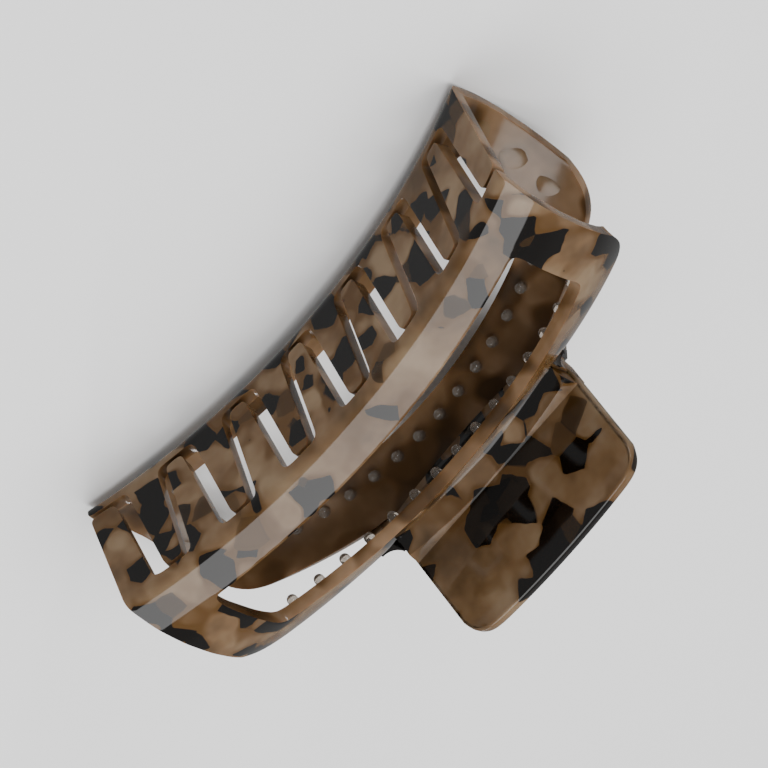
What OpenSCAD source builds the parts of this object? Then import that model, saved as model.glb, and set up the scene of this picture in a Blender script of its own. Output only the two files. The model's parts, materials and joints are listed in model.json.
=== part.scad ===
// Claw clip lying on its rear jaw. Row frame: X along the clip, Z up, floor at z = 0.
// Clip frame used inside jaw(): X along the clip, Y from the front jaw to the rear jaw,
// Z from the teeth to the handles, z = 0 at the middle of the tooth face.

/* [Arch and body] */
// Radius of the arch, measured at the tooth face
arch_r = 157; // [145:1:175]
// Length of the clip from end to end
clip_len = 107.4; // [104:0.2:109]
// Wall thickness of the jaws
wall = 2.5; // [2.2:0.1:2.6]
// Half depth of the closed clip at its widest
half_depth = 17.8; // [16:0.2:20]
// Height of the widest line above the tooth face
belly_h = 10; // [9:0.5:12]
// Radius of the side above the widest line
side_r = 33.3; // [31:0.1:36]
// Radius of the side below the widest line
lower_r = 17.4; // [15:0.2:20]
// Inner radius of the corner between side and tooth face
corner_in = 0.3; // [0.2:0.1:1]
// Height of the top edge at the middle of the clip
crown_z = 38.7; // [38.2:0.1:39.2]
// Radius of the top edge, seen from the side
crown_r = 115; // [108:1:125]
// Radius of the round top corners at both ends
end_corner_r = 9; // [6:0.5:11]

/* [Teeth] */
// Extra width of the tooth that stands at the end of the clip
end_extra = 0.87; // [0:0.01:2]
// Width of a tooth at the middle of the clip
tooth_w = 5.3; // [4.4:0.1:5.8]
// Change of half width for each millimetre along a tooth
tooth_taper = 0.065; // [0.03:0.005:0.09]
// Distance from the widest line to the root of a gap
gap_side = 5.5; // [5:0.1:5.6]
// Gap between a tooth tip and the root of the gap it closes into
tip_gap = 0.9; // [0.5:0.1:2.3]
// Shift of the teeth along the clip
tooth_shift = 0.25; // [0:0.05:0.5]
// Radius of the corners at a tooth tip
tip_r = 1.4; // [0.8:0.1:1.6]
// Radius of the corners at the root of a gap
root_r = 2.2; // [1:0.1:3]

/* [Window] */
// Distance from the end of the clip to the window
win_end = 10.4; // [8.7:0.1:13.7]
// Height of the window edge next to the teeth
win_low = 7.7; // [6:0.1:10]
// Height of the bar between the window and the top edge
win_drop = 8.4; // [7.7:0.1:10.7]
// Radius of the window corners next to the teeth
win_low_r = 3; // [1.5:0.1:5]
// Radius of the window corners next to the hinge
win_high_r = 2; // [1:0.1:4]

/* [Handle] */
// Width of the handle
handle_w = 47.2; // [42:0.2:52]
// Length of the handle
handle_len = 25.6; // [22:0.1:28]
// Thickness of the handle
handle_t = 2.5; // [2.2:0.1:2.8]
// Slope of the handle
handle_slope = 21.9; // [20:0.1:26]
// Distance from the top edge out to the root of the handle
root_out = 1.312; // [1.112:0.1:1.812]
// Distance from the top edge up to the root of the handle
root_up = 0.65; // [0.4:0.05:0.9]
// Radius of the handle corners
handle_corner_r = 5; // [3:0.5:8]
// Radius of the free edge of the handle
handle_edge_r = 230; // [150:5:400]
// Radius of the fillets between handle and top edge
neck_fillet_r = 3; // [1.5:0.1:4]
// Distance from the root of the handle out to the edge of the ledge
ledge_out = 3.8; // [3.3:0.1:4.8]
// Distance from the top edge up to the edge of the ledge
ledge_up = 1.7; // [1.3:0.1:2.1]
// Distance from the side of the handle to the end of the ledge
ledge_end = 1.2; // [0.6:0.1:3.6]
// Distance from the root of the handle to the inner edge of the ledge
ledge_in = 0.6; // [0.3:0.1:1]
// Drop from the top edge to the inner edge of the ledge
ledge_drop = 0.4; // [0.2:0.1:1]

/* [Hinge] */
// Radius of the hinge pin
pin_r = 1; // [0.7:0.05:1.15]
// Radial running clearance of the pin in the lugs
pin_gap = 0.05; // [0.02:0.01:0.1]
// Wall of a lug round the pin
lug_wall = 1.1; // [0.8:0.05:1.2]
// Width of a lug
lug_w = 3.4; // [2.5:0.1:3.6]
// Gap between two lugs
lug_gap = 0.3; // [0.2:0.05:0.5]
// Distance from the middle of the clip to the first lug
lug_start = 7; // [6.8:0.1:7.4]
// Rim of the pin heads outside the pin
head_rim = 0.6; // [0.3:0.05:1.2]
// Thickness of the pin heads
head_t = 0.8; // [0.5:0.1:1.2]
// Radial gap round lugs, heads and spring under the handle root
hollow_gap = 0.2; // [0.1:0.05:0.3]
// Half of the gap between the two top edges
mid_gap = 0.05; // [0.02:0.01:0.2]
// Angle at which the stop faces of the handles meet
stop_angle = 48; // [46:1:50]

/* [Spring] */
// Radius of the spring wire
wire_r = 0.45; // [0.35:0.05:0.5]
// Whole turns of the coil
coil_turns = 8; // [6:1:8]
// Length of the coil along the pin
coil_len = 10.8; // [10:0.1:11.4]
// Length of a spring leg
leg_len = 8; // [5:0.5:12]
// Gap between a spring leg and the handle that it bears on
leg_gap = 0.03; // [0.02:0.01:0.1]

/* [Grip pegs] */
// Number of pegs on one jaw
peg_count = 15; // [9:2:17]
// Distance from the window end to the last peg
peg_end = 2.7; // [2:0.1:6]
// Radius of a peg
peg_r = 1.05; // [0.7:0.05:1.2]
// Height of a peg above the wall
peg_h = 2.3; // [1.3:0.1:2.6]
// Depth of a peg in the wall
peg_root = 0.9; // [0.5:0.1:1.4]
// Distance from the window edge to the pegs, measured up the wall
peg_up = 1.6; // [1.2:0.1:2.5]

/* [Hidden] */
$fn = 96;
big = 60;
over = 1;
eps = 0.01;
arc_fn = 360;
peg_fn = 32;
sweep_span = 60;
tip_out = 0.05;
teeth = 7;
half_len = clip_len / 2;
arch_z = -arch_r;
crown_axis = crown_z - crown_r;
win_high = crown_z - win_drop;
win_half = half_len - win_end;
peg_pitch = 2 * (win_half - peg_end) / (peg_count - 1);

// Teeth spread over the arch from the open first gap to the tooth at the end
end_arc = arch_r * asin(half_len / arch_r) * PI / 180;
tooth_pitch = (end_arc - tooth_shift - tooth_w / 2 - end_extra) / (teeth / 2 - 0.25);
step = tooth_pitch / 2 / arch_r * 180 / PI;
shift_deg = tooth_shift / arch_r * 180 / PI;
gap_root = half_depth - gap_side;
tooth_reach = gap_root - tip_gap;

// Section of the wall: upper side, lower side and corner are arcs that run into each other
corner_r = wall + corner_in;
side_c = half_depth - side_r;
lower_c = half_depth - lower_r;
corner_turn = asin((belly_h - corner_r) / (lower_r - corner_r));
corner_c = lower_c + (lower_r - corner_r) * cos(corner_turn);
side_top = crown_z + over;

// Point of the wall surface of radius r at height h
function wall_y(r, h) = side_c + sqrt(pow(r, 2) - pow(h - belly_h, 2));
function arch_h(x, z) = sqrt(pow(z - arch_z, 2) + pow(x, 2)) - arch_r;
function crown_at(x, z) = crown_axis + sqrt(pow(z - crown_axis, 2) - pow(x, 2));

// Root of the handle and edge of the ledge
root_y = wall_y(side_r, crown_z) + root_out;
root_z = crown_z + root_up;
ledge_y = root_y + ledge_out;
ledge_z = crown_z + ledge_up;
ledge_len = handle_w - 2 * ledge_end;

// Direction of the wall at the window edge next to the hinge
lip_y = wall_y(side_r, win_high);
lip_turn = atan2(win_high - belly_h, lip_y - side_c);

// Handle tip, outer and inner corner
tip_y = root_y + handle_len * cos(handle_slope);
tip_z = root_z + handle_len * sin(handle_slope);
tip_in_y = tip_y - handle_t * sin(handle_slope);
tip_in_z = tip_z + handle_t * cos(handle_slope);

// Lying pose: the rear handle tip and the widest line at the ends touch the floor
end_z = arch_z + sqrt(pow(arch_r + belly_h, 2) - pow(half_len, 2));
rest_y = tip_y - lower_c;
rest_z = tip_z - end_z;
tilt = atan2(rest_y, rest_z) - asin(lower_r / sqrt(pow(rest_y, 2) + pow(rest_z, 2)));
floor_z = tip_y * cos(tilt) - tip_z * sin(tilt);
corner_z = arch_z + sqrt(pow(arch_r + corner_r, 2) - pow(half_len, 2));
far_y = tip_in_y * sin(tilt) + tip_in_z * cos(tilt);
near_y = corner_z * cos(tilt) - corner_c * sin(tilt) - corner_r;
mid_y = (far_y + near_y) / 2;

// Hinge axis in the middle plane of the handle, radii about it, and half the pin between heads
pin_z = root_z - root_y * tan(handle_slope) + handle_t / 2 / cos(handle_slope);
lug_r = pin_r + pin_gap + lug_wall;
head_r = pin_r + head_rim;
coil_r = handle_t / 2 + leg_gap + wire_r;
hollow_r = max(coil_r + wire_r, lug_r, head_r) + hollow_gap;
pin_half = lug_start + 2 * lug_w + 2 * lug_gap;

// Spring path, from the leg on the rear handle round the pin to the leg on the front handle
coil_start = 90 + handle_slope;
coil_sweep = 360 * (coil_turns + 1) - 2 * handle_slope;
turn_steps = 20;
coil_steps = turn_steps * coil_turns;
wire_sides = 10;

module place() {
  translate([0, -mid_y, floor_z])
    rotate([tilt - 90, 0, 0])
      children();
}

// Sweeps a section (x = distance from the axis, y = clip Y) over the clip's arch
module sweep(axis_z) {
  translate([0, 0, axis_z])
    rotate([-90, 0, 0])
      rotate([0, 0, -90 - sweep_span / 2])
        rotate_extrude(angle = sweep_span)
          children();
}

// Runs a shape drawn in clip X and Z through the jaw along Y
module through(from_y, to_y) {
  translate([0, to_y, 0])
    rotate([90, 0, 0])
      linear_extrude(height = to_y - from_y)
        children();
}

// Turns something from the top of the arch to an angle along it
module at_arch(turn) {
  translate([0, 0, arch_z])
    rotate([0, turn, 0])
      translate([0, 0, arch_r])
        children();
}

module arc_band(h, y, r, from, to) {
  translate([h, y])
    intersection() {
      difference() {
        circle(r);
        circle(r - wall);
      }
      polygon([
        [0, 0],
        [big * cos(from), big * sin(from)],
        [big * cos((from + to) / 2), big * sin((from + to) / 2)],
        [big * cos(to), big * sin(to)]
      ]);
    }
}

// Wall section in (height, y), from the crown round the side to the tooth tips
module wall_section() {
  arc_band(belly_h, side_c, side_r, 90 - asin((side_top - belly_h) / side_r), 90);
  arc_band(belly_h, lower_c, lower_r, 90, 90 + corner_turn);
  arc_band(corner_r, corner_c, corner_r, 90 + corner_turn, 180);
  translate([0, -tooth_reach])
    square([wall, tooth_reach + corner_c + eps]);
}

// Outline with a round free edge: width w, length len, edge radius edge, corner radius r
module round_edged(w, len, edge, r) {
  side_x = w / 2 - r;
  side_h = len - edge + sqrt(pow(edge - r, 2) - pow(side_x, 2));
  turn = asin(side_x / (edge - r));
  translate([-w / 2, 0])
    square([w, side_h]);
  for (side = [-1, 1])
    translate([side * side_x, side_h])
      circle(r);
  intersection() {
    translate([0, len - edge])
      circle(edge, $fn = arc_fn);
    polygon([
      [-side_x, 0],
      [-side_x, side_h],
      [-2 * edge * sin(turn), len - edge + 2 * edge * cos(turn)],
      [2 * edge * sin(turn), len - edge + 2 * edge * cos(turn)],
      [side_x, side_h],
      [side_x, 0]
    ]);
  }
}

// Gap between two teeth, drawn in x and y with its root at +y
module gap_shape() {
  half_mid = (tooth_pitch - tooth_w) / 2;
  root_half = half_mid - tooth_taper * (gap_root - root_r);
  far_half = half_mid + tooth_taper * 2 * half_depth;
  circle_x = root_half - root_r * sqrt(1 + pow(tooth_taper, 2));
  polygon([
    [-far_half, -2 * half_depth],
    [far_half, -2 * half_depth],
    [root_half, gap_root - root_r],
    [-root_half, gap_root - root_r]
  ]);
  translate([-circle_x, gap_root - 2 * root_r])
    square([2 * circle_x, 2 * root_r]);
  for (side = [-1, 1])
    translate([side * circle_x, gap_root - root_r])
      circle(root_r);
}

// Rounds one corner of a tooth tip
module tip_corner(side) {
  out = tip_r + over;
  difference() {
    translate([side > 0 ? 0 : -out, -out])
      square(out);
    circle(tip_r);
  }
}

module cut_teeth() {
  tip_half = tooth_w / 2 - tooth_taper * (tooth_reach - tip_r);
  circle_x = tip_half - tip_r + tip_out;
  circle_y = tip_r - tooth_reach - tip_out;
  for (i = [0 : teeth - 1])
    at_arch((2 * i - teeth + 0.5) * step + shift_deg)
      translate([0, 0, -over])
        linear_extrude(height = wall + 2 * over)
          gap_shape();
  for (i = [0 : teeth - 1])
    at_arch((2 * i - teeth + 1.5) * step + shift_deg)
      for (side = [-1, 1])
        if (side < 0 || i < teeth - 1)
          translate([side * circle_x, circle_y, -over])
            linear_extrude(height = wall + 2 * over)
              tip_corner(side);
  translate([half_len - tip_r + tip_out, circle_y, -big / 2])
    linear_extrude(height = big)
      tip_corner(1);
}

// Window outline in clip X and Z
module window_shape() {
  low_r = arch_r + win_low;
  high_r = win_high - crown_axis;
  low_x = win_half - win_low_r;
  high_x = win_half - win_high_r;
  low_z = arch_z + sqrt(pow(low_r + win_low_r, 2) - pow(low_x, 2));
  high_z = crown_axis + sqrt(pow(high_r - win_high_r, 2) - pow(high_x, 2));
  difference() {
    intersection() {
      translate([0, crown_axis])
        circle(high_r, $fn = arc_fn);
      translate([-win_half, -win_low])
        square([2 * win_half, crown_z]);
    }
    translate([0, arch_z])
      circle(low_r, $fn = arc_fn);
    for (side = [-1, 1]) {
      difference() {
        translate([side > 0 ? low_x : -win_half - over, low_z - 2 * win_low_r])
          square([win_low_r + over, 2 * win_low_r]);
        translate([side * low_x, low_z])
          circle(win_low_r);
      }
      difference() {
        translate([side > 0 ? high_x : -win_half - over, high_z])
          square([win_high_r + over, 2 * win_high_r]);
        translate([side * high_x, high_z])
          circle(win_high_r);
      }
    }
  }
}

// Keeps the window cut square to the wall at the edge next to the hinge
module below_lip() {
  drop = big * tan(lip_turn);
  sweep(crown_axis)
    translate([-crown_axis, 0])
      polygon([
        [win_high - lip_y * tan(lip_turn), 0],
        [win_high + drop - lip_y * tan(lip_turn), big],
        [-half_depth, big],
        [-half_depth, 0]
      ]);
}

module shell() {
  difference() {
    intersection() {
      sweep(arch_z)
        translate([arch_r, 0])
          wall_section();
      through(-half_depth, big)
        translate([0, -half_len])
          round_edged(clip_len, crown_z + half_len, crown_r, end_corner_r);
    }
    intersection() {
      through(root_y, big)
        window_shape();
      below_lip();
    }
    cut_teeth();
  }
}

// Handle plane: X along the clip, Y along the handle from its root, Z out of its inner face
module at_handle() {
  translate([0, root_y, root_z])
    rotate([handle_slope, 0, 0])
      children();
}

// Ledge under the handle root, following the arch of the top edge up to the handle
module ledge() {
  sag = crown_r - sqrt(pow(crown_r, 2) - pow(ledge_len / 2, 2));
  top = ledge_z + sag + handle_t;
  intersection() {
    sweep(crown_axis)
      translate([-crown_axis, 0])
        polygon([
          [crown_z - wall, root_y],
          [crown_z - ledge_drop, root_y + ledge_in],
          [ledge_z, ledge_y],
          [top, ledge_y],
          [top, root_y]
        ]);
    at_handle()
      translate([-ledge_len / 2, -handle_len / 2, -handle_len])
        cube([ledge_len, handle_len, handle_len + handle_t / 2]);
  }
}

// Block between the top of the wall and the handle, with its side fillets
module neck() {
  side_x = handle_w / 2;
  top_z = crown_at(side_x, crown_z);
  fillet_z = crown_axis + sqrt(pow(crown_r + neck_fillet_r, 2) - pow(side_x + neck_fillet_r, 2));
  neck_low = top_z - wall / 2;
  neck_top = pin_z + handle_t / 2;
  front_y = wall_y(side_r, arch_h(side_x, top_z));
  rotate([90, 0, 90])
    translate([0, 0, -side_x])
      linear_extrude(height = handle_w)
        polygon([
          [0, neck_low],
          [front_y, neck_low],
          [front_y, top_z],
          [root_y + ledge_in, root_z + ledge_in * tan(handle_slope) + eps],
          [root_y + handle_t, neck_top + (root_y + handle_t) * tan(handle_slope)],
          [0, neck_top]
        ]);
  through(root_y - wall / 2, root_y + ledge_in)
    for (side = [-1, 1])
      difference() {
        translate([side > 0 ? side_x - eps : -side_x - neck_fillet_r, neck_low])
          square([neck_fillet_r + eps, fillet_z - neck_low]);
        translate([side * (side_x + neck_fillet_r), fillet_z])
          circle(neck_fillet_r);
      }
}

module handle() {
  at_handle()
    linear_extrude(height = handle_t)
      round_edged(handle_w, handle_len, handle_edge_r, handle_corner_r);
}

// One lug ring with its web to the root of the handle, from x to x + lug_w
module lug(x) {
  translate([x, 0, pin_z])
    rotate([90, 0, 90]) {
      cylinder(r = lug_r, h = lug_w);
      translate([0, -lug_r])
        linear_extrude(height = lug_w)
          square([root_y, 2 * lug_r]);
    }
}

// Cylinder along the hinge axis, as far as half on both sides of the middle
module on_axis(r, half) {
  translate([-half, 0, pin_z])
    rotate([0, 90, 0])
      cylinder(r = r, h = 2 * half);
}

// Space that the other jaw needs: its top edge, its stop face when open, its lugs and the spring
module other_side() {
  translate([-half_len, -big, win_high])
    cube([clip_len, big + mid_gap, pin_z - win_high]);
  translate([0, 0, pin_z])
    rotate([-stop_angle / 2, 0, 0])
      translate([-half_len, -big, 0])
        cube([clip_len, big, big]);
  on_axis(hollow_r, pin_half + head_t + lug_gap);
}

module peg_at(x) {
  z = crown_at(x, win_high + peg_up * cos(lip_turn));
  h = arch_h(x, z);
  turn = atan2(h - belly_h, wall_y(side_r - wall, h) - side_c);
  translate([x, wall_y(side_r - wall, h), z])
    rotate([90 + turn, 0, 0])
      children();
}

module pegs(r, root) {
  for (i = [0 : peg_count - 1])
    peg_at((i - (peg_count - 1) / 2) * peg_pitch) {
      translate([0, 0, -root])
        cylinder(r = r, h = root + peg_h - peg_r, $fn = peg_fn);
      translate([0, 0, peg_h - peg_r])
        sphere(r = r, $fn = peg_fn);
    }
}

module jaw() {
  difference() {
    union() {
      difference() {
        union() {
          shell();
          neck();
          handle();
          ledge();
        }
        other_side();
      }
      lug(lug_start);
      lug(-lug_start - 2 * lug_w - lug_gap);
    }
    pegs(peg_r, peg_root);
    on_axis(pin_r + pin_gap, pin_half + head_t);
  }
}

module front_jaw() {
  color([0.55, 0.45, 0.36])
    place()
      rotate([0, 0, 180])
        jaw();
}

module rear_jaw() {
  color([0.55, 0.45, 0.36])
    place()
      jaw();
}

module hinge_pin() {
  color([0.75, 0.75, 0.77])
    place() {
      on_axis(pin_r, pin_half + eps);
      for (side = [-1, 1])
        translate([side * (pin_half + head_t / 2), 0, 0])
          on_axis(head_r, head_t / 2);
    }
}

// Ring of wire points: x along the pin, turn round it, run along a straight leg
function ring(x, turn, run) = [
  for (k = [0 : wire_sides - 1])
    let (a = 360 * k / wire_sides, r = coil_r + wire_r * cos(a))
      [x + wire_r * sin(a), r * cos(turn) - run * sin(turn), pin_z + r * sin(turn) + run * cos(turn)]
];

function coil_ring(i) =
  ring(coil_len * (i / coil_steps - 0.5), coil_start + coil_sweep * i / coil_steps, 0);

module torsion_spring() {
  rings = [
    ring(-coil_len / 2, coil_start, -leg_len),
    for (i = [0 : coil_steps]) coil_ring(i),
    ring(coil_len / 2, coil_start + coil_sweep, leg_len)
  ];
  last = len(rings) - 1;
  points = [for (r = rings) each r];
  sides = [
    for (j = [0 : last - 1], k = [0 : wire_sides - 1])
      let (n = (k + 1) % wire_sides)
        [j * wire_sides + k, j * wire_sides + n, (j + 1) * wire_sides + n, (j + 1) * wire_sides + k]
  ];
  first_cap = [for (k = [0 : wire_sides - 1]) wire_sides - 1 - k];
  last_cap = [for (k = [0 : wire_sides - 1]) last * wire_sides + k];
  color([0.7, 0.7, 0.72])
    place()
      polyhedron(points, concat([first_cap], sides, [last_cap]), convexity = 10);
}

module front_grip() {
  color([0.9, 0.9, 0.9, 0.5])
    place()
      rotate([0, 0, 180])
        pegs(peg_r, peg_root);
}

module rear_grip() {
  color([0.9, 0.9, 0.9, 0.5])
    place()
      pegs(peg_r, peg_root);
}

front_jaw();
rear_jaw();
hinge_pin();
torsion_spring();
front_grip();
rear_grip();
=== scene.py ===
import json
import math

import bmesh
import bpy
from mathutils import Matrix, Vector


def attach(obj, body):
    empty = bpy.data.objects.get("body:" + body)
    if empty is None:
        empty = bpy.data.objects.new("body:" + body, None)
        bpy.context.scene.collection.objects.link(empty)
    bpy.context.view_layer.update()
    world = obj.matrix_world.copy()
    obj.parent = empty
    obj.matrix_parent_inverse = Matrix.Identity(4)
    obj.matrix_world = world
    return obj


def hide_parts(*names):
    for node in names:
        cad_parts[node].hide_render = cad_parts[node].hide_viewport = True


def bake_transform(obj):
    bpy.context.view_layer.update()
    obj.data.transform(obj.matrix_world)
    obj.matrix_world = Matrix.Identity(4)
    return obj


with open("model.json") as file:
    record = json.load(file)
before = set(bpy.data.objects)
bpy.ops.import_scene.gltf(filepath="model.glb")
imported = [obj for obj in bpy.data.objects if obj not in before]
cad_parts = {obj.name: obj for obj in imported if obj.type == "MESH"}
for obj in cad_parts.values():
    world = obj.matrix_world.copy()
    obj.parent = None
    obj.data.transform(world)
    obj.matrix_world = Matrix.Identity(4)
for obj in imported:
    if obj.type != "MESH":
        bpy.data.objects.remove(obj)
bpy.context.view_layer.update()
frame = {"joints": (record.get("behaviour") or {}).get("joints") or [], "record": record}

# The clip lies on its rear jaw. Each piece is modelled upright in millimetres, teeth at z = 0
# and handles up, rear jaw towards +y, and is then laid down about the hinge of the frame.
handle_slope = math.radians(21.9)
pin_height = 39.612
hinge = Vector(frame["joints"][0]["pos_m"])
pad = next(m for m in frame["record"]["mounts"] if m["name"] == "front_thumb_pad")
pad_upright = math.atan2(-math.cos(handle_slope), -math.sin(handle_slope))
pad_lying = math.atan2(pad["axis"][2], pad["axis"][1])
lay_down = (
    Matrix.Translation(hinge)
    @ Matrix.Rotation(pad_lying - pad_upright, 4, "X")
    @ Matrix.Scale(0.001, 4)
    @ Matrix.Translation((0, 0, -pin_height))
)
half_turn = Matrix.Rotation(math.pi, 4, "Z")
jaw_side = {"rear": Matrix.Identity(4), "front": half_turn}


def srgb(code):
    """A hex colour as the linear values that a shader takes."""
    parts = [int(code[i : i + 2], 16) / 255 for i in (1, 3, 5)]
    return [c / 12.92 if c <= 0.04045 else ((c + 0.055) / 1.055) ** 2.4 for c in parts] + [1]


def add_node(tree, kind, settings=None, links=None):
    """A node with its settings, given by attribute or input name, and its links."""
    node = tree.nodes.new(kind)
    for name, value in (settings or {}).items():
        if isinstance(name, str) and name not in node.inputs:
            setattr(node, name, value)
        else:
            node.inputs[name].default_value = value
    for name, source in (links or {}).items():
        tree.links.new(source, node.inputs[name])
    return node


def new_material(name):
    material = bpy.data.materials.new(name)
    material.use_nodes = True
    material.node_tree.nodes.clear()
    return material, material.node_tree


def ramp_stops(node, stops):
    """Gives a colour ramp its stops, as pairs of position and hex colour."""
    ramp = node.color_ramp
    while len(ramp.elements) < len(stops):
        ramp.elements.new(1)
    for element, (position, code) in zip(ramp.elements, stops):
        element.position = position
        element.color = srgb(code)


# Tortoiseshell acetate: amber-beige stock with chips of black-brown stock pressed into it, so
# the chips have straight broken edges, and their dye bleeds into an orange halo round them.
# The outer skin is polished: sharp reflections over a cloudy depth.
def acetate(name, chip_mm, blur, bleed_blur, stock_stops, halo_code, chip_code, chip_edge):
    material, tree = new_material(name)
    coords = add_node(tree, "ShaderNodeTexCoord").outputs["Object"]
    drift = add_node(
        tree,
        "ShaderNodeTexNoise",
        {"Scale": 1000 / (chip_mm * 1.5), "Detail": 2.0, "Roughness": 0.5},
        {"Vector": coords},
    )
    moved = add_node(
        tree,
        "ShaderNodeVectorMath",
        {"operation": "MULTIPLY_ADD", 1: (0.0022, 0.0022, 0.0022)},
        {0: drift.outputs["Color"], 2: coords},
    )
    chips = add_node(
        tree,
        "ShaderNodeTexVoronoi",
        {"feature": "SMOOTH_F1", "Scale": 1000 / chip_mm, "Smoothness": blur},
        {"Vector": moved.outputs["Vector"]},
    )
    chip_value = add_node(tree, "ShaderNodeSeparateColor", {}, {"Color": chips.outputs["Color"]})
    bleed = add_node(
        tree,
        "ShaderNodeTexVoronoi",
        {"feature": "SMOOTH_F1", "Scale": 1000 / chip_mm, "Smoothness": bleed_blur},
        {"Vector": moved.outputs["Vector"]},
    )
    bleed_value = add_node(tree, "ShaderNodeSeparateColor", {}, {"Color": bleed.outputs["Color"]})
    cloud = add_node(
        tree,
        "ShaderNodeTexNoise",
        {"Scale": 1000 / 13.0, "Detail": 3.0, "Roughness": 0.55},
        {"Vector": coords},
    )
    stock = add_node(tree, "ShaderNodeValToRGB", {}, {"Fac": cloud.outputs["Fac"]})
    ramp_stops(stock, stock_stops)
    halo_mask = add_node(
        tree,
        "ShaderNodeMapRange",
        {"From Min": 0.58, "From Max": 0.30, "interpolation_type": "SMOOTHSTEP"},
        {"Value": bleed_value.outputs["Red"]},
    )
    halo = add_node(
        tree,
        "ShaderNodeMix",
        {"data_type": "RGBA", 7: srgb(halo_code)},
        {0: halo_mask.outputs["Result"], 6: stock.outputs["Color"]},
    )
    chip_mask = add_node(
        tree,
        "ShaderNodeMapRange",
        {"From Min": chip_edge, "From Max": chip_edge - 0.05 - 0.2 * blur},
        {"Value": chip_value.outputs["Red"]},
    )
    body = add_node(
        tree,
        "ShaderNodeMix",
        {"data_type": "RGBA", 7: srgb(chip_code)},
        {0: chip_mask.outputs["Result"], 6: halo.outputs[2]},
    )
    waves = add_node(
        tree,
        "ShaderNodeTexNoise",
        {"Scale": 1000 / 6.0, "Detail": 1.0},
        {"Vector": coords},
    )
    skin = add_node(
        tree,
        "ShaderNodeBump",
        {"Strength": 0.05, "Distance": 0.0004},
        {"Height": waves.outputs["Fac"]},
    )
    return material, tree, body.outputs[2], skin.outputs["Normal"]


tortoise, tree, shell_colour, shell_skin = acetate(
    "tortoiseshell_acetate",
    chip_mm=4.8,
    blur=0.22,
    bleed_blur=1.0,
    stock_stops=[(0.30, "#4A3824"), (0.48, "#685139"), (0.66, "#7C6850")],
    halo_code="#503719",
    chip_code="#080503",
    chip_edge=0.36,
)
polish = add_node(
    tree,
    "ShaderNodeBsdfPrincipled",
    {
        "Roughness": 0.06,
        "IOR": 1.5,
        "Subsurface Weight": 0.2,
        "Subsurface Radius": (1.0, 0.5, 0.25),
        "Subsurface Scale": 0.0015,
    },
    {"Base Color": shell_colour, "Normal": shell_skin},
)
add_node(tree, "ShaderNodeOutputMaterial", {}, {"Surface": polish.outputs["BSDF"]})

# From inside and at the cut edges the same acetate is seen through its amber depth, with the chips
# out of focus and a moulded finish that is a little softer. Its lighter tone there is painted
# light: a painted glow for light coming through the amber wall.
amber, tree, inner_painted_glow_colour, amber_skin = acetate(
    "amber_inner_face_painted_glow",
    chip_mm=5.6,
    blur=0.9,
    bleed_blur=1.0,
    stock_stops=[(0.30, "#5E4830"), (0.50, "#765C42"), (0.68, "#8A7056")],
    halo_code="#5E452B",
    chip_code="#3C2B1A",
    chip_edge=0.36,
)
# The base colour here is the painted glow of light through the amber, not a colour of the acetate
depth = add_node(
    tree,
    "ShaderNodeBsdfPrincipled",
    {
        "Roughness": 0.16,
        "IOR": 1.5,
        "Subsurface Weight": 0.3,
        "Subsurface Radius": (1.0, 0.5, 0.25),
        "Subsurface Scale": 0.002,
    },
    {"Base Color": inner_painted_glow_colour, "Normal": amber_skin},
)
add_node(tree, "ShaderNodeOutputMaterial", {}, {"Surface": depth.outputs["BSDF"]})

# Each jaw is one injection moulding in that acetate look: an arched wall 2.5 mm thick with
# seven claw teeth and a long window, and a handle on a stiff neck. The wall starts as a flat
# sheet of cells that is laid over the arch and then given its thickness.
wall = 2.5
arch_r = 157.0
half_len = 53.7
half_depth, belly, side_r, lower_r, corner_r = 17.8, 10.0, 33.3, 17.4, 2.8
side_c = half_depth - side_r
lower_c = half_depth - lower_r
corner_turn = math.asin((belly - corner_r) / (lower_r - corner_r))
corner_c = lower_c + (lower_r - corner_r) * math.cos(corner_turn)
crown_z, crown_r, end_corner_r = 38.7, 115.0, 9.0
crown_axis = crown_z - crown_r
pitch, tooth_w, taper, reach, gap_root, shift = 15.7, 5.3, 0.065, 11.4, 12.3, -0.25
teeth = 7
win_half, win_low, win_high = 43.3, 7.7, 30.3
handle_w, handle_len, handle_corner_r, handle_edge_r = 47.2, 25.6, 5.0, 230.0
root_y, root_z = 2.7, 39.35


def side_y(height, inset=0.0):
    """Distance of the wall surface from the middle plane at a height above the teeth."""
    radius, centre = (side_r, side_c) if height >= belly else (lower_r, lower_c)
    return centre + math.sqrt(max((radius - inset) ** 2 - (height - belly) ** 2, 0))


def arch_point_z(x, height):
    return math.sqrt((arch_r + height) ** 2 - x * x) - arch_r


def arch_height(x, z):
    return math.hypot(x, z + arch_r) - arch_r


def crown_arc_z(x, z_mid):
    return crown_axis + math.sqrt((z_mid - crown_axis) ** 2 - x * x)


def crown_edge_z(x):
    """Top edge of the jaw with its round end corners."""
    corner_x = half_len - end_corner_r
    corner_z = crown_axis + math.sqrt((crown_r - end_corner_r) ** 2 - corner_x**2)
    if abs(x) * (crown_r - end_corner_r) < corner_x * crown_r:
        return crown_arc_z(x, crown_z)
    return corner_z + math.sqrt(max(end_corner_r**2 - (abs(x) - corner_x) ** 2, 0))


# Columns of the sheet: three lines on each tooth and three in each gap
tooth_at = [(2 * j - teeth + 0.5) * pitch / 2 + shift for j in range(teeth)]
last_col = 6 * teeth - 1
win_cols = (4, last_col - 4)


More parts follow.
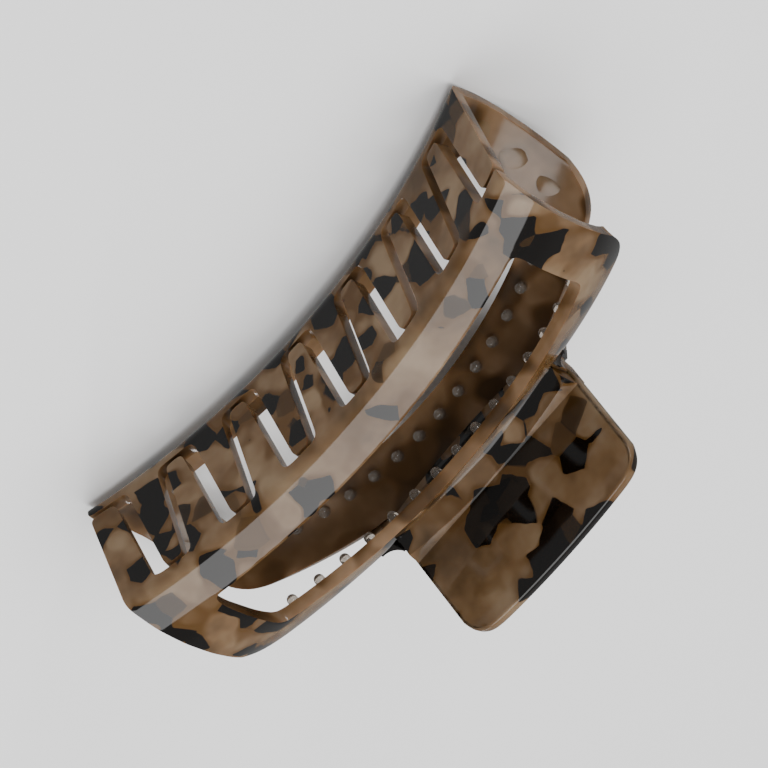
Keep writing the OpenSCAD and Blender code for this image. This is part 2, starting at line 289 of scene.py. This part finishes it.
def tooth_zone_x(col, y):
    """x of a column line where the sheet is teeth and gaps."""
    if col == last_col:
        return half_len
    tooth, line = divmod(col, 6)
    half = tooth_w / 2 + taper * y
    centre = tooth_at[tooth]
    fillet, end_step = 3.0, 2.6
    if line < 3:
        arc = centre + (line - 1) * half
    elif col > last_col - 3:
        arc = centre + half + (line - 2) * end_step
    else:
        gap_lines = (centre + half + fillet, centre + pitch / 2, centre + pitch - half - fillet)
        arc = gap_lines[line - 3]
    x = arch_r * math.sin(arc / arch_r)
    if tooth == 0 and line < 2:
        x_right = arch_r * math.sin((centre + half) / arch_r)
        x = -half_len if line == 0 else (x_right - half_len) / 2
    return x


def window_zone_x(col):
    """x of a column line from the window up to the crown."""
    ends = [half_len, 52.5, 49.4, 46.4]
    if col < win_cols[0]:
        return -ends[col]
    if col > win_cols[1]:
        return ends[last_col - col]
    return win_half * (2 * (col - win_cols[0]) / (win_cols[1] - win_cols[0]) - 1)


# Rows of the sheet, from the tooth tips over the corner and the side to the top edge
tooth_rows = [-reach, -9.3, -5.5, -1.5, 2.5, 6.0, 9.2, gap_root]
corner_rows = [-90.0, -68.0, -48.0, -math.degrees(corner_turn)]
low_rows = [5.4, win_low]
window_rows = [4.6, 0.36, 0.66, -3.4, 0.0]
bar_rows = [0.3, 0.6, 0.88, 1.0]
root_row = len(tooth_rows) - 1
lip_row = root_row + len(corner_rows) + len(low_rows)
bar_row = lip_row + len(window_rows)
last_row = bar_row + len(bar_rows)


def sheet_point(col, row):
    """Place of a corner of the sheet on the outer face of the jaw."""
    x_low, x_high = tooth_zone_x(col, gap_root), window_zone_x(col)
    if row <= root_row:
        y = tooth_rows[row]
        x = tooth_zone_x(col, y)
        return Vector((x, y, arch_point_z(x, 0)))
    row -= root_row + 1
    if row < len(corner_rows):
        turn = math.radians(corner_rows[row])
        height = corner_r + corner_r * math.sin(turn)
        x = x_low + (x_high - x_low) * 0.08 * row
        return Vector((x, corner_c + corner_r * math.cos(turn), arch_point_z(x, height)))
    row -= len(corner_rows)
    if row < len(low_rows):
        x = x_low + (x_high - x_low) * (0.62, 1.0)[row]
        return Vector((x, side_y(low_rows[row]), arch_point_z(x, low_rows[row])))
    row -= len(low_rows)
    x = x_high
    lip_height = arch_height(x, crown_arc_z(x, win_high))
    if row < len(window_rows):
        step = window_rows[row]
        height = win_low + step if step > 1 else lip_height + step
        if 0 < step < 1:
            height = win_low + (lip_height - win_low) * step
        return Vector((x, side_y(height), arch_point_z(x, height)))
    row -= len(window_rows)
    top_height = arch_height(x, crown_edge_z(x))
    height = lip_height + (top_height - lip_height) * bar_rows[row]
    return Vector((x, side_y(height), arch_point_z(x, height)))


def is_open(col, row):
    """Whether the cell above and right of a corner is part of a gap or of the window."""
    if row < root_row:
        return col % 6 in (2, 3, 4, 5) or col >= last_col - 3
    return lip_row <= row < bar_row and win_cols[0] <= col < win_cols[1]


def finished(bm, name):
    """Puts a bmesh in the scene as an object at the origin."""
    mesh = bpy.data.meshes.new(name)
    bm.to_mesh(mesh)
    bm.free()
    piece = bpy.data.objects.new(name, mesh)
    bpy.context.scene.collection.objects.link(piece)
    return piece


def shade_smooth(bm):
    for face in bm.faces:
        face.smooth = True


def evaluated(piece):
    """A bmesh of the piece with its modifiers applied; the piece itself is removed."""
    bpy.context.view_layer.update()
    depsgraph = bpy.context.evaluated_depsgraph_get()
    bm = bmesh.new()
    bm.from_mesh(piece.evaluated_get(depsgraph).to_mesh())
    bpy.data.objects.remove(piece)
    return bm


sheet = bmesh.new()
bmesh.ops.create_grid(sheet, x_segments=last_col, y_segments=last_row, size=1)
cell = {}
for vert in sheet.verts:
    cell[vert] = (
        round((vert.co.x + 1) / 2 * last_col),
        round((vert.co.y + 1) / 2 * last_row),
    )
opened = []
for face in sheet.faces:
    col = min(cell[v][0] for v in face.verts)
    row = min(cell[v][1] for v in face.verts)
    if is_open(col, row):
        opened.append(face)
for vert in sheet.verts:
    vert.co = sheet_point(*cell[vert])
bmesh.ops.delete(sheet, geom=opened, context="FACES")
bmesh.ops.recalc_face_normals(sheet, faces=sheet.faces)
outward = sum((f.normal.y for f in sheet.faces if f.calc_center_median().z > 5), 0)
if outward < 0:
    bmesh.ops.reverse_faces(sheet, faces=sheet.faces)
sheet_piece = finished(sheet, "jaw_sheet")
sheet_piece.data.materials.append(tortoise)
sheet_piece.data.materials.append(amber)
smooth = sheet_piece.modifiers.new("round_outline", "SUBSURF")
smooth.levels = smooth.render_levels = 2
thick = sheet_piece.modifiers.new("wall", "SOLIDIFY")
thick.thickness = wall
thick.offset = -1
thick.use_even_offset = True
# Inner faces and rims take the amber copy, whose lighter tone is painted glow
thick.material_offset = thick.material_offset_rim = 1
jaw_wall = evaluated(sheet_piece)


def trim(bm, faces, point, outer):
    """Cuts faces at a plane, drops what is outside it and closes the cut."""
    geom = set(faces)
    for face in faces:
        geom.update(face.edges)
        geom.update(face.verts)
    cut = bmesh.ops.bisect_plane(
        bm, geom=list(geom), dist=0.001, plane_co=point, plane_no=outer, clear_outer=True
    )
    edges = [g for g in cut["geom_cut"] if isinstance(g, bmesh.types.BMEdge)]
    before = set(bm.faces)
    bmesh.ops.holes_fill(bm, edges=edges)
    for face in set(bm.faces) - before:
        face.material_index = 1


def grow(bm, faces, run):
    """Extrudes faces into a block along run."""
    grown = bmesh.ops.extrude_face_region(bm, geom=faces)["geom"]
    moved = [g for g in grown if isinstance(g, bmesh.types.BMVert)]
    bmesh.ops.translate(bm, verts=moved, vec=run)


def extruded(bm, outline, x_from, x_to):
    """A block with its outline drawn in y and z, from one x to another."""
    end = bm.faces.new([bm.verts.new((x_from, y, z)) for y, z in outline])
    grow(bm, [end], (x_to - x_from, 0, 0))


# The two top edges meet on the middle plane with a hair of a gap
mid_gap = 0.05
near_top = [f for f in jaw_wall.faces if f.calc_center_median().z > win_high]
trim(jaw_wall, near_top, (0, mid_gap, 0), (0, -1, 0))

# Both ends of the moulding are square to its length
end_cut, end_zone = 0.02, 6
for side in (-1, 1):
    near_end = [f for f in jaw_wall.faces if side * f.calc_center_median().x > half_len - end_zone]
    trim(jaw_wall, near_end, (side * (half_len - end_cut), 0, 0), (side, 0, 0))

# The handle is a flat plate with a slightly round free edge and round corners
handle_t = 2.5
plate = bmesh.new()
plate_cols, plate_rows = 16, 8
bmesh.ops.create_grid(plate, x_segments=plate_cols, y_segments=plate_rows, size=1)
plate_half = handle_w / 2
near_side = [0.0, 0.7, 2.5, 5.0]
corner_x = plate_half - handle_corner_r
corner_v = handle_len - handle_edge_r
corner_v += math.sqrt((handle_edge_r - handle_corner_r) ** 2 - corner_x**2)
for vert in plate.verts:
    col = round((vert.co.x + 1) / 2 * plate_cols)
    run = (vert.co.y + 1) / 2
    from_side = min(col, plate_cols - col)
    last_near = len(near_side) - 1
    inner_half = plate_half - near_side[last_near]
    x = inner_half - inner_half * (from_side - last_near) / (plate_cols / 2 - last_near)
    if from_side < len(near_side):
        x = plate_half - near_side[from_side]
    edge_v = handle_len - handle_edge_r + math.sqrt(handle_edge_r**2 - x * x)
    if x > corner_x:
        edge_v = corner_v + math.sqrt(max(handle_corner_r**2 - (x - corner_x) ** 2, 0))
    sign = -1 if col * 2 < plate_cols else 1
    vert.co = Vector((sign * x, edge_v * run, 0))
plate_piece = finished(plate, "handle_plate")
plate_piece.data.materials.append(tortoise)
plate_piece.data.materials.append(amber)
smooth = plate_piece.modifiers.new("round_outline", "SUBSURF")
smooth.levels = smooth.render_levels = 2
smooth.boundary_smooth = "PRESERVE_CORNERS"
thick = plate_piece.modifiers.new("plate", "SOLIDIFY")
thick.thickness = handle_t
thick.offset = 1
handle_plate = evaluated(plate_piece)
rim_edges = [e for e in handle_plate.edges if e.is_manifold and e.calc_face_angle(0) > 1.0]
bmesh.ops.bevel(
    handle_plate,
    geom=rim_edges,
    offset=0.7,
    segments=4,
    profile=0.5,
    affect="EDGES",
    material=-1,
)
bmesh.ops.transform(
    handle_plate,
    matrix=Matrix.Translation((0, root_y, root_z)) @ Matrix.Rotation(handle_slope, 4, "X"),
    verts=handle_plate.verts,
)

# The neck joins wall and handle. Its ends are solid stop faces, and its middle is hollow on
# the inside for the hinge lugs and the spring.
ledge_in, ledge_drop, ledge_y, ledge_z, ledge_half = 0.6, 0.4, 6.5, 40.4, 22.4
lug_r, lug_w, lug_gap, lug_start, bore_r = 2.15, 3.4, 0.3, 7.0, 1.05
hollow_r, hollow_half = 2.38, 15.5
neck_half = handle_w / 2
neck_top = crown_arc_z(neck_half, crown_z)
neck_low = neck_top - wall / 2
neck_front = side_y(arch_height(neck_half, neck_top))
front_line = [(neck_front, neck_low), (neck_front, neck_top)]
front_line += [(root_y + ledge_in, root_z + ledge_in * math.tan(handle_slope))]
top_y = 1.45
inner_top = pin_height + handle_t / 2 + top_y * math.tan(handle_slope)
neck = bmesh.new()
solid_end = [(mid_gap, neck_low)] + front_line
solid_end += [(root_y + wall, inner_top + (root_y + wall - top_y) * math.tan(handle_slope))]
solid_end += [(top_y, inner_top), (mid_gap, pin_height)]
extruded(neck, solid_end, hollow_half, neck_half)
extruded(neck, solid_end, -neck_half, -hollow_half)
hollow = [(mid_gap, neck_low)] + front_line
for degrees in (12, -4, -20, -36, -52, -68, -84, -90):
    bend = math.radians(degrees)
    hollow.append((hollow_r * math.cos(bend), pin_height + hollow_r * math.sin(bend)))
extruded(neck, [p for p in hollow if p[0] > mid_gap / 2], -hollow_half, hollow_half)

# Small fillets run from the top edge into both sides of the neck
fillet_r = 3.0
fillet_z = crown_axis + math.sqrt((crown_r + fillet_r) ** 2 - (neck_half + fillet_r) ** 2)
for sign in (-1, 1):
    corner = [(neck_half - 0.2, neck_low), (neck_half - 0.2, fillet_z)]
    for step in range(9):
        bend = math.pi / 2 * step / 8
        reach_x = neck_half + fillet_r - fillet_r * math.cos(bend)
        corner.append((reach_x, fillet_z - fillet_r * math.sin(bend)))
    corner.append((neck_half + fillet_r, neck_low))
    end = neck.faces.new([neck.verts.new((sign * x, root_y - wall / 2, z)) for x, z in corner])
    grow(neck, [end], (0, wall, 0))
bmesh.ops.recalc_face_normals(neck, faces=neck.faces)

# A ledge stiffens the root of the handle and follows the arch of the top edge. It is filled
# up past the plate and then cut back to it.
fill = 5
ledge = bmesh.new()
section = [(root_y, crown_z - wall), (root_y + ledge_in, crown_z - ledge_drop)]
section += [(ledge_y, ledge_z), (ledge_y, ledge_z + fill), (root_y, ledge_z + fill)]
ledge_face = ledge.faces.new([ledge.verts.new((0, y, z)) for y, z in section])
ledge_span = 2 * math.asin(ledge_half / crown_r)
bmesh.ops.rotate(
    ledge,
    verts=ledge.verts,
    cent=(0, 0, crown_axis),
    matrix=Matrix.Rotation(-ledge_span / 2, 3, "Y"),
)
bmesh.ops.spin(
    ledge,
    geom=[ledge_face] + list(ledge_face.edges) + list(ledge_face.verts),
    cent=(0, 0, crown_axis),
    axis=(0, 1, 0),
    angle=ledge_span,
    steps=24,
)
bmesh.ops.recalc_face_normals(ledge, faces=ledge.faces)
under_plate = (0, root_y, root_z + handle_t / 2)
plate_normal = (0, -math.sin(handle_slope), math.cos(handle_slope))
trim(ledge, list(ledge.faces), under_plate, plate_normal)

# Lugs with a bore for the hinge pin stand in the hollow of the neck
web_y = 1.3
lugs = bmesh.new()
for lug_x in (lug_start, -lug_start - 2 * lug_w - lug_gap):
    facing = Matrix.Translation((lug_x, 0, pin_height)) @ Matrix.Rotation(math.pi / 2, 4, "Y")
    outer = bmesh.ops.create_circle(lugs, segments=40, radius=lug_r, matrix=facing)["verts"]
    inner = bmesh.ops.create_circle(lugs, segments=40, radius=bore_r, matrix=facing)["verts"]
    loops = {e for v in outer + inner for e in v.link_edges}
    ring_faces = bmesh.ops.bridge_loops(lugs, edges=list(loops))["faces"]
    grow(lugs, ring_faces, (lug_w, 0, 0))
    web = [(web_y, pin_height - lug_r), (root_y, pin_height - lug_r)]
    web += [(root_y, pin_height + lug_r), (web_y, pin_height + lug_r)]
    extruded(lugs, web, lug_x, lug_x + lug_w)
bmesh.ops.recalc_face_normals(lugs, faces=lugs.faces)

# Ejector pins leave shallow round marks on the inner wall near the open ends
marks = bmesh.new()
for mark_x, mark_height, mark_r in ((48.6, 9.5, 2.4), (48.4, 18.0, 2.9), (48.0, 25.5, 2.4)):
    for side in (-1, 1):
        before = set(marks.verts)
        bmesh.ops.create_cone(
            marks, cap_ends=True, segments=36, radius1=mark_r, radius2=mark_r - 0.12, depth=0.4
        )
        disc = [v for v in marks.verts if v not in before]
        inner_y = side_y(mark_height, wall)
        slope = math.atan2(mark_height - belly, inner_y - side_c)
        seat = Matrix.Translation((side * mark_x, inner_y, arch_point_z(mark_x, mark_height)))
        seat @= Matrix.Rotation(math.pi / 2 + slope, 4, "X")
        bmesh.ops.transform(marks, matrix=seat, verts=disc)
for face in marks.faces:
    face.material_index = 1

for name, turn in jaw_side.items():
    jaw = bmesh.new()
    for part in (jaw_wall, handle_plate, neck, ledge, lugs, marks):
        mesh = bpy.data.meshes.new("part")
        part.to_mesh(mesh)
        jaw.from_mesh(mesh)
        bpy.data.meshes.remove(mesh)
    bmesh.ops.transform(jaw, matrix=lay_down @ turn, verts=jaw.verts)
    shade_smooth(jaw)
    jaw_piece = finished(jaw, name + "_jaw_moulding")
    soft_edge = jaw_piece.modifiers.new("soft_edge", "BEVEL")
    soft_edge.width = 0.00035
    soft_edge.segments = 3
    soft_edge.limit_method = "ANGLE"
    soft_edge.angle_limit = math.radians(50)
    soft_edge.use_clamp_overlap = True
    jaw_piece.data.materials.append(tortoise)
    jaw_piece.data.materials.append(amber)
    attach(jaw_piece, name)
    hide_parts(name + "_jaw")
for part in (jaw_wall, handle_plate, neck, ledge, lugs, marks):
    part.free()

# The grip pegs are a row of small round-topped pins in clear soft plastic, moulded into the
# bar beside the hinge so that the hair does not slide. They take the colour behind them.
clear, tree = new_material("clear_soft_plastic")
place_node = add_node(tree, "ShaderNodeTexCoord")
ripple = add_node(
    tree, "ShaderNodeTexNoise", {"Scale": 1000 / 0.8}, {"Vector": place_node.outputs["Object"]}
)
skin = add_node(
    tree,
    "ShaderNodeBump",
    {"Strength": 0.15, "Distance": 0.0001},
    {"Height": ripple.outputs["Fac"]},
)
tint = add_node(tree, "ShaderNodeValToRGB", {}, {"Fac": ripple.outputs["Fac"]})
ramp_stops(tint, [(0.3, "#A79C90"), (0.7, "#C9C1B7")])
gel = add_node(
    tree,
    "ShaderNodeBsdfPrincipled",
    {"Roughness": 0.08, "IOR": 1.45, "Transmission Weight": 0.75},
    {"Base Color": tint.outputs["Color"], "Normal": skin.outputs["Normal"]},
)
add_node(tree, "ShaderNodeOutputMaterial", {}, {"Surface": gel.outputs["BSDF"]})

peg_count, peg_pitch, peg_r, peg_h, peg_root, peg_up = 15, 5.8, 1.05, 2.3, 0.9, 1.6
lip_turn = math.atan2(win_high - belly, side_y(win_high) - side_c)
for name, turn in jaw_side.items():
    pegs = bmesh.new()
    for i in range(peg_count):
        x = (i - (peg_count - 1) / 2) * peg_pitch
        z = crown_arc_z(x, win_high + peg_up * math.cos(lip_turn))
        height = arch_height(x, z)
        base_y = side_y(height, wall)
        slope = math.atan2(height - belly, base_y - side_c)
        outline = [pegs.verts.new((0, 0, -peg_root)), pegs.verts.new((peg_r, 0, -peg_root))]
        for step in range(7):
            bend = math.pi / 2 * step / 6
            outline.append(
                pegs.verts.new((peg_r * math.cos(bend), 0, peg_h - peg_r + peg_r * math.sin(bend)))
            )
        edges = [pegs.edges.new(pair) for pair in zip(outline, outline[1:])]
        before = set(pegs.verts) - set(outline)
        bmesh.ops.spin(
            pegs,
            geom=outline + edges,
            cent=(0, 0, 0),
            axis=(0, 0, 1),
            angle=2 * math.pi,
            steps=20,
            use_merge=True,
        )
        new = [v for v in pegs.verts if v not in before]
        bmesh.ops.remove_doubles(pegs, verts=new, dist=0.0005)
        new = [v for v in pegs.verts if v not in before]
        seat = Matrix.Translation((x, base_y, z)) @ Matrix.Rotation(math.pi / 2 + slope, 4, "X")
        bmesh.ops.transform(pegs, matrix=seat, verts=new)
    bmesh.ops.recalc_face_normals(pegs, faces=pegs.faces)
    bmesh.ops.transform(pegs, matrix=lay_down @ turn, verts=pegs.verts)
    shade_smooth(pegs)
    peg_piece = finished(pegs, name + "_grip_pegs")
    peg_piece.data.materials.append(clear)
    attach(peg_piece, name)
    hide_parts(name + "_grip")

# The hinge pin is a length of drawn steel wire with an upset head at each end. Drawing leaves
# fine lines along it, so the highlight is a soft streak.
steel, tree = new_material("drawn_steel_wire")
place_node = add_node(tree, "ShaderNodeTexCoord")
stretch = add_node(
    tree, "ShaderNodeMapping", {"Scale": (0.08, 1, 1)}, {"Vector": place_node.outputs["Object"]}
)
lines = add_node(
    tree,
    "ShaderNodeTexNoise",
    {"Scale": 1000 / 0.15, "Detail": 3.0},
    {"Vector": stretch.outputs["Vector"]},
)
shine = add_node(
    tree,
    "ShaderNodeMapRange",
    {"To Min": 0.22, "To Max": 0.42},
    {"Value": lines.outputs["Fac"]},
)
tone = add_node(tree, "ShaderNodeValToRGB", {}, {"Fac": lines.outputs["Fac"]})
ramp_stops(tone, [(0.3, "#A9A9AC"), (0.7, "#C4C5C8")])
wire_skin = add_node(
    tree,
    "ShaderNodeBsdfPrincipled",
    {"Metallic": 1.0},
    {"Base Color": tone.outputs["Color"], "Roughness": shine.outputs["Result"]},
)
add_node(tree, "ShaderNodeOutputMaterial", {}, {"Surface": wire_skin.outputs["BSDF"]})

pin_r, head_r, head_t = 1.0, 1.6, 0.8
pin_half = lug_start + 2 * lug_w + 2 * lug_gap
left_end = -pin_half
pin = bmesh.new()
outline = [(left_end - head_t, 0), (left_end - head_t, head_r - 0.3)]
outline += [(left_end - head_t + 0.3, head_r), (left_end, head_r), (left_end, pin_r)]
outline += [(pin_half, pin_r), (pin_half, head_r), (pin_half + head_t - 0.3, head_r)]
outline += [(pin_half + head_t, head_r - 0.3), (pin_half + head_t, 0)]
profile = [pin.verts.new((x, r, pin_height)) for x, r in outline]
edges = [pin.edges.new(pair) for pair in zip(profile, profile[1:])]
bmesh.ops.spin(
    pin,
    geom=profile + edges,
    cent=(0, 0, pin_height),
    axis=(1, 0, 0),
    angle=2 * math.pi,
    steps=32,
    use_merge=True,
)
bmesh.ops.remove_doubles(pin, verts=pin.verts, dist=0.001)
bmesh.ops.recalc_face_normals(pin, faces=pin.faces)
bmesh.ops.transform(pin, matrix=lay_down, verts=pin.verts)
shade_smooth(pin)
pin_piece = finished(pin, "hinge_wire_pin")
edge_keep = pin_piece.modifiers.new("edge", "BEVEL")
edge_keep.width = 0.0001
edge_keep.segments = 2
edge_keep.limit_method = "ANGLE"
pin_piece.data.materials.append(steel)
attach(pin_piece, "rear")
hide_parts("hinge_pin")

# The torsion spring is wound from spring wire round the pin, and each end leg presses on the
# inner face of one handle. It is built at rest, as one piece that follows neither jaw.
wire_r, coil_r, coil_len, leg_len, coil_turns = 0.45, 1.73, 10.8, 8.0, 8
coil_start = math.pi / 2 + handle_slope
coil_sweep = 2 * math.pi * (coil_turns + 1) - 2 * handle_slope
coil_steps = 28 * coil_turns


def draw_leg(bm, rim, run):
    """Draws the open rim of the wire out along run and closes its end."""
    drawn = bmesh.ops.extrude_edge_only(bm, edges=rim)["geom"]
    verts = [g for g in drawn if isinstance(g, bmesh.types.BMVert)]
    edges = [g for g in drawn if isinstance(g, bmesh.types.BMEdge)]
    edges = [e for e in edges if all(v in verts for v in e.verts)]
    bmesh.ops.translate(bm, verts=verts, vec=run)
    bmesh.ops.contextual_create(bm, geom=edges)


spring = bmesh.new()
wire_turn = Matrix.Translation((-coil_len / 2, 0, pin_height)) @ Matrix.Rotation(
    coil_start, 4, "X"
)
section = bmesh.ops.create_circle(
    spring,
    segments=10,
    radius=wire_r,
    matrix=wire_turn @ Matrix.Translation((0, coil_r, 0)),
)["verts"]
first_edges = list({e for v in section for e in v.link_edges})
leg_back = wire_turn.to_3x3() @ Vector((0, 0, -leg_len))
draw_leg(spring, first_edges, leg_back)
wound = bmesh.ops.spin(
    spring,
    geom=section + first_edges,
    cent=(0, 0, pin_height),
    axis=(1, 0, 0),
    dvec=(coil_len / coil_steps, 0, 0),
    angle=coil_sweep,
    steps=coil_steps,
)["geom_last"]
last_edges = [g for g in wound if isinstance(g, bmesh.types.BMEdge)]
end_turn = Matrix.Rotation(coil_start + coil_sweep, 3, "X")
draw_leg(spring, last_edges, end_turn @ Vector((0, 0, leg_len)))
bmesh.ops.recalc_face_normals(spring, faces=spring.faces)
bmesh.ops.transform(spring, matrix=lay_down, verts=spring.verts)
shade_smooth(spring)
spring_piece = finished(spring, "closing_spring")
spring_piece.data.materials.append(steel)
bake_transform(spring_piece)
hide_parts("torsion_spring")

# A plain white table under the clip, matt like paper and wide enough to fill every view. The
# polished faces don't mirror it.
paper, tree = new_material("white_table")
table = add_node(
    tree, "ShaderNodeBsdfPrincipled", {"Base Color": srgb("#F6F6F6"), "Roughness": 0.9}
)
add_node(tree, "ShaderNodeOutputMaterial", {}, {"Surface": table.outputs["BSDF"]})
floor = bmesh.new()
bmesh.ops.create_grid(floor, x_segments=1, y_segments=1, size=3)
floor_piece = finished(floor, "table_top")
floor_piece.data.materials.append(paper)
floor_piece.visible_glossy = False

# Studio light: a wide overhead fill that isn't mirrored, a key box and a side box, and two
# narrow strips low at the sides that draw streaks on the polished faces
world = bpy.data.worlds.new("studio")
bpy.context.scene.world = world
world.use_nodes = True
world.node_tree.nodes["Background"].inputs["Color"].default_value = (1, 1, 1, 1)
world.node_tree.nodes["Background"].inputs["Strength"].default_value = 0.35


def soft_box(name, place, aim, width, height, power, mirrored=True):
    lamp = bpy.data.lights.new(name, "AREA")
    lamp.shape = "RECTANGLE"
    lamp.size, lamp.size_y, lamp.energy = width, height, power
    piece = bpy.data.objects.new(name, lamp)
    piece.location = place
    piece.rotation_euler = (Vector(aim) - Vector(place)).to_track_quat("-Z", "Y").to_euler()
    piece.visible_glossy = mirrored
    bpy.context.scene.collection.objects.link(piece)


soft_box("overhead_fill", (-0.1, 0.1, 1.2), (0, 0, 0), 1.2, 1.2, 17, mirrored=False)
soft_box("key_box", (0.25, -0.2, 0.7), (0, 0, 0.03), 0.5, 0.5, 2.8)
soft_box("side_box", (-0.6, 0.3, 0.5), (0, 0, 0.03), 0.3, 0.6, 0.4)
soft_box("left_strip", (-0.75, -0.5, 0.35), (0, 0, 0.03), 0.06, 0.6, 1.6)
soft_box("right_strip", (0.75, 0.45, 0.35), (0, 0, 0.03), 0.06, 0.6, 1.6)

# The camera: a long lens a metre away, turned so that the clip runs across the view
camera_data = bpy.data.cameras.new("camera")
camera_data.lens = 258.8
camera_data.sensor_width = 36
camera_data.clip_end = 20
camera = bpy.data.objects.new("camera", camera_data)
bpy.context.scene.collection.objects.link(camera)
towards = Vector((-0.3128, -0.7617, -0.5674)).normalized()
across = Vector((-0.6241, -0.2855, 0.7273)).normalized()
target = Vector((-4.50, -4.76, 8.88))
distance = 1000
laid = lay_down.to_3x3().normalized()
back = (laid @ towards).normalized()
right = (laid @ across).normalized()
up = back.cross(right)
axes = Matrix((right, up, back)).transposed()
place = lay_down @ (target + towards * distance)
camera.matrix_world = Matrix.Translation(place) @ axes.to_4x4()
bpy.context.scene.camera = camera
